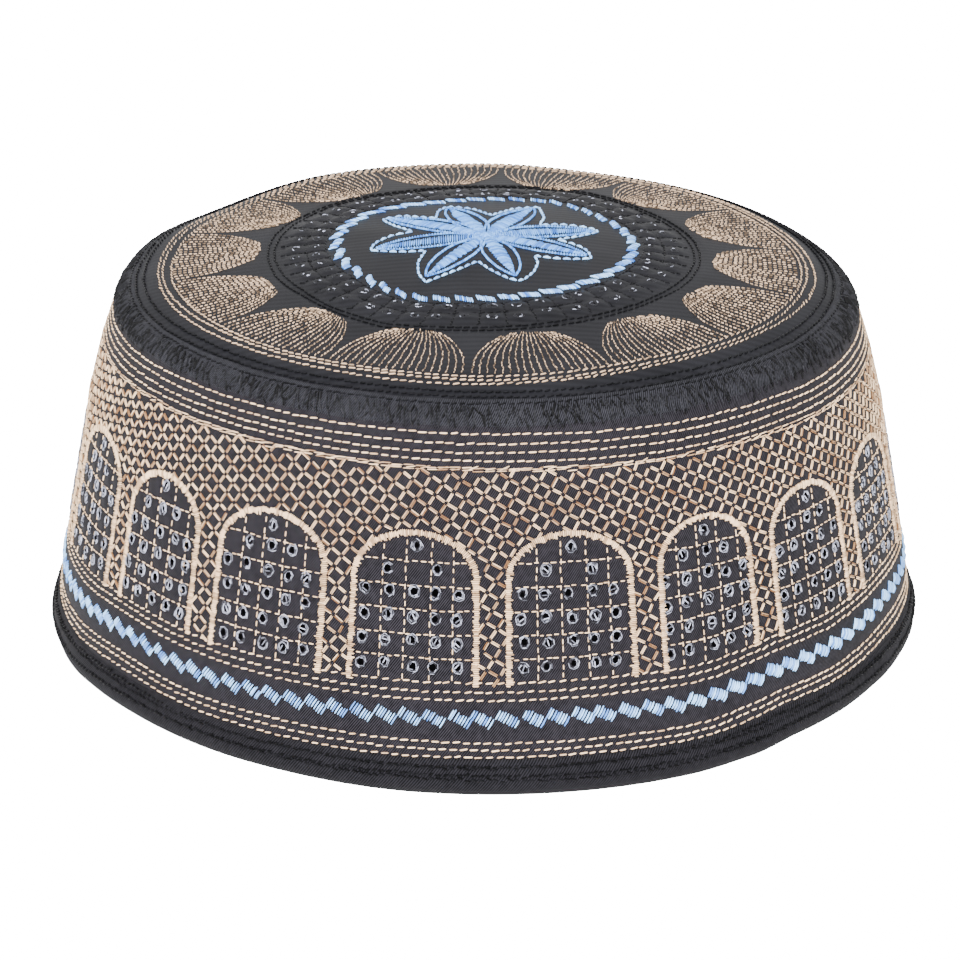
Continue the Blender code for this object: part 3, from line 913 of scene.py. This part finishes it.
middle_radius = ring_line(middle_azimuth) + 0.2 * MM + place * rise + uneven
blocks = (middle_azimuth - 0.6, at_radius(middle_radius - 1.05 * MM),
          middle_azimuth + 0.6, at_radius(middle_radius + 1.05 * MM))
lay("crown_blue_ring", STITCH, [blocks], 0.46, 0.7, SKY_BLUE,
    out=0.1, lift=0.1, tone=(0.0, 1.0))

# %% [markdown]
# ## The flower
#
# The crown's middle carries an eight-petalled flower. Each petal is a satin leaf, threads
# straight across it, between two corded lines, and one dashed line runs round all the tips.
# It was drawn by hand, so each tip has its own direction and reach.

# %% Petals, cords and the dashed outline
# Direction in degrees counter-clockwise from +X, reach and half width in millimetres.
PETALS = ((240, 24.3, 1.7), (286, 22.0, 1.7), (339, 22.4, 1.9), (21, 24.4, 2.0),
          (67, 26.0, 1.9), (109, 24.6, 1.8), (141, 26.6, 2.0), (190, 23.2, 2.1))
# Share of the reach, share of the half width, and millimetres beside the middle of the cords.
PETAL_SHAPE = np.array((
    (0.0, 0.3, 0.4), (0.12, 0.62, 1.5), (0.25, 0.95, 2.6), (0.42, 1.0, 3.2), (0.6, 0.95, 3.1),
    (0.78, 0.65, 2.4), (0.9, 0.25, 1.4), (1.0, 0.05, 0.1)))
# The dashed line round the petals: directions and millimetres from the middle.
FLOWER_OUTLINE = np.array((
    (243, 27.2), (250, 21.1), (256, 17.8), (263, 14.5), (273, 18.9), (281, 23.0), (287, 25.2),
    (297, 21.8), (308, 17.9), (313, 14.7), (320, 17.9), (329, 21.4), (337, 24.2), (348, 21.6),
    (355, 18.2), (359, 15.0), (10, 19.9), (20, 26.0), (27, 24.2), (35, 20.0), (39, 14.6),
    (51, 20.0), (66, 28.2), (75, 24.1), (86, 15.7), (97, 22.1), (108, 26.1), (116, 23.6),
    (127, 17.8), (131, 21.1), (134, 25.8), (143, 28.3), (152, 22.0), (163, 16.2), (170, 20.3),
    (180, 23.3), (191, 24.9), (199, 20.9), (208, 17.1), (211, 14.6), (225, 20.0), (235, 24.3),
    (243, 27.2)))
# How far a leaf's threads lean along the petal at each end.
LEAF_LEAN = 0.35 * MM


def petal_spots(direction, along, side):
    """Azimuths and walked lengths of spots given along and beside a petal's middle line."""
    angle = math.radians(direction)
    x = along * math.cos(angle) - side * math.sin(angle)
    y = along * math.sin(angle) + side * math.cos(angle)
    return np.degrees(np.arctan2(x, -y)), at_radius(np.hypot(x, y))


def even_steps(first, second, pitch):
    """Two coordinates of a line, taken again every pitch along it."""
    walked = np.concatenate([[0], np.cumsum(np.hypot(np.diff(first), np.diff(second)))])
    even = np.linspace(0, walked[-1], int(round(walked[-1] / pitch)) + 1)
    return np.interp(even, walked, first), np.interp(even, walked, second)


leaf, cord = [], []
for direction, reach, widest in PETALS:
    reach = reach * MM
    along = np.arange(0.08 * reach, 0.97 * reach, 0.48 * MM)
    half = np.interp(along / reach, *PETAL_SHAPE[:, :2].T) * widest * MM * chance.normal(1, 0.12, len(along))
    first = petal_spots(direction, along - LEAF_LEAN, -half)
    leaf.append((*first, *petal_spots(direction, along + LEAF_LEAN, half)))
    for side in (-1, 1):
        beside = side * PETAL_SHAPE[:, 2] * (0.7 + widest / 5) * MM
        along, beside = even_steps(PETAL_SHAPE[:, 0] * reach * 1.01, beside, 0.62 * MM)
        first = petal_spots(direction, along[:-1], beside[:-1])
        cord.append((*first, *petal_spots(direction, along[1:], beside[1:] * 1.03)))
lay("flower_leaves", STITCH, leaf, 0.38, 0.9, DEEP_BLUE, out=0.1, lift=0.1, tone=(0.2, 1.2))
lay("flower_cords", STITCH, cord, 0.6, 0.7, DEEP_BLUE, out=0.1, lift=0.08, tone=(0.2, 1.2))

direction, reach = np.radians(FLOWER_OUTLINE[:, 0]), FLOWER_OUTLINE[:, 1] * MM
x, y = even_steps(reach * np.cos(direction), reach * np.sin(direction), 2.1 * MM)
last_x, last_y = x[:-1] + np.diff(x) * 0.86, y[:-1] + np.diff(y) * 0.86
dashes = (*petal_spots(0, x[:-1], y[:-1]), *petal_spots(0, last_x, last_y))
lay("flower_outline", STITCH, [dashes], 0.68, 0.65, SKY_BLUE,
    out=0.1, lift=0.08, tone=(0.4, 1.0))

# The knot that closes the petals at the middle.
turn = np.arange(0, 180, 15.0)
near = np.full(len(turn), at_radius(1.6 * MM))
lay("flower_knot", STITCH, [(turn, near, turn + 180, near)], 0.5, 1.2, DEEP_BLUE,
    out=0.3, lift=0.1, tone=(0.4, 1.2))

# %% [markdown]
# ## The black trellis
#
# Outside the blue ring the crown is quilted in black: spokes and rings that part it into small
# pillows, each with a black eyelet whose few light grey stitches are a painted glint.

# %% Trellis lines, black rows and eyelets
RING_MEAN = 32.0 * MM
# How far the two circles of eyelets lie outside the ring.
EYELET_CIRCLES = 4.5 * MM, 9.1 * MM


def spoke_run(azimuth, inner, outer, pitch):
    """Stitches along one spoke of the trellis."""
    count = int(round((outer - inner) / pitch))
    low = ring_line(azimuth) + inner + (outer - inner) * (np.arange(count) + 0.1) / count
    high = low + (outer - inner) / count * 0.85
    stray = chance.normal(0, 0.3, (2, count))
    return azimuth + stray[0], at_radius(low), azimuth + stray[1], at_radius(high)


def ring_row(beyond, pitch, share, slant):
    """A running row that follows the blue ring, some way outside it."""
    start, low, end, high = running_row(at_radius(RING_MEAN + beyond), pitch, share, slant, 0.15 * MM)
    return start, low + ring_line(start) - RING_MEAN, end, high + ring_line(end) - RING_MEAN


black = [spoke_run(spoke, TRELLIS_INNER, TRELLIS_OUTER + 0.8 * MM, 1.25 * MM) for spoke in SPOKES]
black += [ring_row(beyond, 1.7 * MM, 0.85, 0.15 * MM)
          for beyond in (TRELLIS_INNER, TRELLIS_MIDDLE, *RING_BLACK_ROWS)]
lay("crown_black_quilting", FINE_STITCH, black, 0.42, 0.45, BLACK, lift=0.05)
rows = [running_row(at_radius(radius), 1.6 * MM, 0.85, 0.3 * MM, 0.15 * MM) for radius in CROWN_BLACK_ROWS]
lay("crown_black_rows", FINE_STITCH, rows, 0.45, 0.6, BLACK, out=0.25, lift=0.05)

spots = []
for beyond in EYELET_CIRCLES:
    azimuth = CELLS + chance.normal(0, 0.4, len(CELLS))
    radius = ring_line(CELLS) + beyond + chance.normal(0, 0.25, len(CELLS)) * MM
    spots.append((azimuth, at_radius(radius)))
spot_azimuth, spot_length = (np.concatenate(part) for part in zip(*spots))
rings = eyelet_rings(spot_azimuth, spot_length, 0.8 * MM, 0.7 * MM, 8, 2)
lay("crown_eyelet_threads", FINE_STITCH, [rings], 0.3, 0.3, OVERCAST, out=0.3, lift=0.05)
# A few of the ring's stitches are laid again in light grey thread: a painted glint on the black eyelets.
painted_glint_picks = np.flatnonzero(chance.uniform(0, 1, len(rings[0])) < 0.18)
painted_glint_stitches = [part[painted_glint_picks] for part in rings]
lay("crown_eyelet_glints", FINE_STITCH, [painted_glint_stitches], 0.2, 0.35, GREY,
    out=0.4, lift=0.05, tone=(0.0, 1.0))
# Dark domes of painted shade stand for the crown eyelets' holes.
painted_hole_dots("crown_eyelet_holes", spot_azimuth, spot_length, 0.32, 0.35)

# %% [markdown]
# ## The scallops
#
# Fourteen shell shapes stand round the crown. Their lines start close together at the tip near
# the black rows and fan out to the beige rows at the edge, so the tip looks like a knot.

# %% Fanned lines of small stitches
SCALLOPS = 14
SCALLOP_START = 254.0 + 90.0
SCALLOP_LINES = 19
SCALLOP_TIP, SCALLOP_BASE, SCALLOP_BEND = 47.8 * MM, 65.9 * MM, 63.6 * MM


def scallop_line(centre, spread, tip_shift):
    """Stitches along one line of a scallop, from its base inwards to one of its two tips."""
    pitch = 1.08 * MM
    radius = np.arange(SCALLOP_BASE, SCALLOP_TIP + chance.uniform(0, 1.0) * MM, -pitch)
    radius = radius + chance.uniform(-0.3, 0.3) * pitch
    ends = []
    for place in (radius, radius - pitch * 0.78):
        place = np.maximum(place, SCALLOP_TIP)
        bend = np.clip((SCALLOP_BEND - place) / (SCALLOP_BEND - SCALLOP_TIP + 0.8 * MM), 0, 1)
        fanned = centre + spread * np.sqrt(1 - bend * bend) * (1 - 0.4 * bend ** 3)
        ends.append(fanned + tip_shift * bend * bend + chance.normal(0, 0.1, len(place)))
        ends.append(at_radius(place + abs(tip_shift) * 0.3 * MM * bend))
    return ends


fans = []
for number in range(SCALLOPS):
    centre = SCALLOP_START + number * 360 / SCALLOPS
    shift = chance.uniform(-0.6, 1.2)
    for line in range(SCALLOP_LINES):
        spread = (line - (SCALLOP_LINES - 1) / 2) / (SCALLOP_LINES - 1) * 24.0
        fans.append(scallop_line(centre, spread, shift + 3.4 * spread / 12))
lay("crown_scallops", FINE_STITCH, fans, 0.27, 0.55, BROWN_BEIGE,
    out=0.03, lift=0.05, tone=(0.1, 1.3))

rows = []
for radius in CROWN_BEIGE_ROWS:
    start, low, end, high = running_row(at_radius(radius), 1.75 * MM, 0.78, 0.35 * MM, 0.2 * MM)
    rows.append((start, low + beige_drift(start), end, high + beige_drift(end)))
lay("crown_beige_rows", SATIN_STITCH, rows, 0.31, 0.5, BROWN_BEIGE,
    lift=0.06, tone=(0.5, 1.4))

# %% [markdown]
# ## Shoulder and hem
#
# The shoulder seam is overcast in black: threads thrown to and fro across the binding, which
# leaves dark leaning tufts. The hem tape is held by two pairs of wandering black rows.

# %% Overcast shoulder
count = 900
azimuth = np.arange(count) * 360 / count + chance.normal(0, 0.12, count)
sway = np.where(np.arange(count) % 3 == 0, -0.5, 0.4) + chance.normal(0, 0.3, count)
top = SEAM_LENGTH - 0.4 * MM + chance.normal(0, 0.5 * MM, count)
bottom = SEAM_LENGTH + 3.9 * MM + chance.normal(0, 0.5 * MM, count)
middle = (top + bottom) / 2 + chance.normal(0, 0.8 * MM, count)
halves = [(azimuth - sway, top, azimuth, middle + 0.3 * MM),
          (azimuth, middle - 0.3 * MM, azimuth + sway, bottom)]
lay("shoulder_overcast_threads", FINE_STITCH, halves, 0.4, 0.7, OVERCAST,
    out=0.25, lift=0.05, tone=(-0.5, 0.7))

# %% Hem rows
# Height, slant, and how far out each row lies on the bulging tape, in millimetres.
HEM_ROWS = ((6.75, 0.35, 0.8), (6.3, -0.35, 0.85), (4.6, 0.35, 1.25), (4.15, -0.35, 1.3))
hem = [running_row(at_height(height * MM), 1.4 * MM, 0.85, slant * MM, 0.25 * MM, 0.12 * MM)
       for height, slant, _ in HEM_ROWS]
out = np.repeat([row[2] for row in HEM_ROWS], [len(row[0]) for row in hem])
lay("hem_black_rows", FINE_STITCH, hem, 0.5, 0.8, BLACK, out=out, lift=0.02, tone=(-0.4, 0.8))

# %% [markdown]
# ## Floor, light and camera
#
# The cap stands on a pale floor in soft light from above, as on a sheet of white paper in a
# light tent. The camera looks slightly down with a long lens, which keeps the ovals calm.

# %% The stage
bm = bmesh.new()
bmesh.ops.create_grid(bm, x_segments=1, y_segments=1, size=3.0)
mesh = bpy.data.meshes.new("pale_floor")
bm.to_mesh(mesh)
bm.free()
floor = bpy.data.objects.new("pale_floor", mesh)
bpy.context.scene.collection.objects.link(floor)
paper, tree, shader = new_material("white_paper", 0.9)
shader.inputs["Base Color"].default_value = linear("#fafafa")
# The paper is overexposed to a plain white for the camera, and lights the cap no more for that.
ray = add_node(tree, "ShaderNodeLightPath")
white = compute(tree, "MULTIPLY", ray.outputs["Is Camera Ray"], 24.0)
shader.inputs["Emission Color"].default_value = (1, 1, 1, 1)
tree.links.new(white, shader.inputs["Emission Strength"])
mesh.materials.append(paper)

world = bpy.data.worlds.new("light_tent")
world.use_nodes = True
world.node_tree.nodes["Background"].inputs["Color"].default_value = (1, 1, 1, 1)
world.node_tree.nodes["Background"].inputs["Strength"].default_value = 1.9
bpy.context.scene.world = world


def soft_light(name, place, target, size, power, mirrored):
    """A square area light that looks at a target; mirrored says whether gloss shows it."""
    lamp = bpy.data.lights.new(name, "AREA")
    lamp.shape = "SQUARE"
    lamp.size = size
    lamp.energy = power
    light = bpy.data.objects.new(name, lamp)
    light.location = place
    light.rotation_euler = (Vector(target) - Vector(place)).to_track_quat("-Z", "Y").to_euler()
    light.visible_glossy = mirrored
    bpy.context.scene.collection.objects.link(light)


# The fill isn't mirrored, or it would lie as a grey glare on the crown seen from behind.
soft_light("overhead_softbox", (-0.1, -0.6, 1.0), (0, 0, 0.05), 0.7, 14.0, True)
soft_light("front_fill", (-0.1, -1.3, 0.45), (0, 0, 0.04), 0.8, 46.0, False)

# %% The camera
TURN_POINT = Vector((0, 0, 0.03924))
DISTANCE, ELEVATION, ROLL = 0.8520, math.radians(21.652), math.radians(0.256)
AIM = Vector((-0.00101, 0, 0.02986))
place = TURN_POINT + DISTANCE * Vector((0, -math.cos(ELEVATION), math.sin(ELEVATION)))
forward = (AIM - place).normalized()
right = forward.cross(Vector((0, 0, 1))).normalized()
upward = right.cross(forward)
level_x = right * math.cos(ROLL) + upward * math.sin(ROLL)
level_y = upward * math.cos(ROLL) - right * math.sin(ROLL)
camera_data = bpy.data.cameras.new("studio_camera")
camera_data.sensor_width = 36.0
camera_data.lens = 148.0
camera_data.clip_start = 0.01
camera = bpy.data.objects.new("studio_camera", camera_data)
camera.matrix_world = Matrix((
    (level_x.x, level_y.x, -forward.x, place.x),
    (level_x.y, level_y.y, -forward.y, place.y),
    (level_x.z, level_y.z, -forward.z, place.z),
    (0, 0, 0, 1)))
bpy.context.scene.collection.objects.link(camera)
bpy.context.scene.camera = camera

# %% Sizes and finish
pieces = [thing for thing in bpy.data.objects if thing.type == "MESH" and len(thing.data.polygons) > 300]
print("triangles in all:", sum(len(face.vertices) - 2 for piece in pieces for face in piece.data.polygons))
